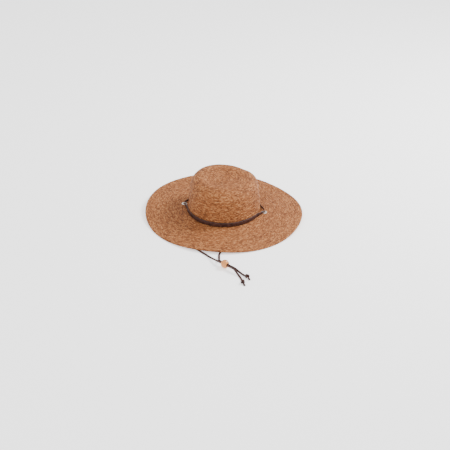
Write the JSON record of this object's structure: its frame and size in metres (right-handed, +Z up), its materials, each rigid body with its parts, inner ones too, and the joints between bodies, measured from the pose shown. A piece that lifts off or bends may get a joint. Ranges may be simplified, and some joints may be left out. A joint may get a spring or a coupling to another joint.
{
  "type": "straw sun hat",
  "caption": "Wide-brimmed sewn-straw sun hat with an oval crown, a leather band, side eyelets and a chin lace drawn up by a sliding wooden bead.",
  "frame": {"origin": "on the resting surface, straight below the middle of the crown and brim", "axes": "+Z up; -Y is the hat's front, where the chin lace comes out; +X is to the right seen from the front"},
  "size_m": [0.386, 0.5387, 0.0977],
  "materials": {
    "straw": "matt sewn paper-straw braid",
    "spring_wire": "drawn",
    "sleeve_metal": "crimped",
    "sweatband_cloth": "woven",
    "thread": "twisted thread",
    "tab_cloth": "woven",
    "eyelet_metal": "nickel plate, satin",
    "dark_leather": "semi-matt",
    "bead_wood": "satin varnish"
  },
  "bodies": {
    "hat": {"crown_side": "straw", "crown_tip": "straw", "brim": "straw", "brim_edge_row": "straw", "brim_wire": "spring_wire", "wire_joiner": "sleeve_metal", "sweatband": "sweatband_cloth", "sweatband_stitches": "thread", "size_tab": "tab_cloth", "eyelets": "eyelet_metal", "eyelet_washers": "eyelet_metal", "front_band": "dark_leather", "band_knots": "dark_leather", "back_lace": "dark_leather", "chin_lace_left": "dark_leather", "chin_lace_right": "dark_leather", "tail_knot_lower": "dark_leather", "tail_knot_upper": "dark_leather"},
    "bead": {"cord_bead": "bead_wood"}
  },
  "joints": [
    {"name": "bead_slide", "type": "slide", "parent": "hat", "child": "bead", "axis": [0.848, -0.5299, 0], "range_m": [0, 0.01]}
  ]
}
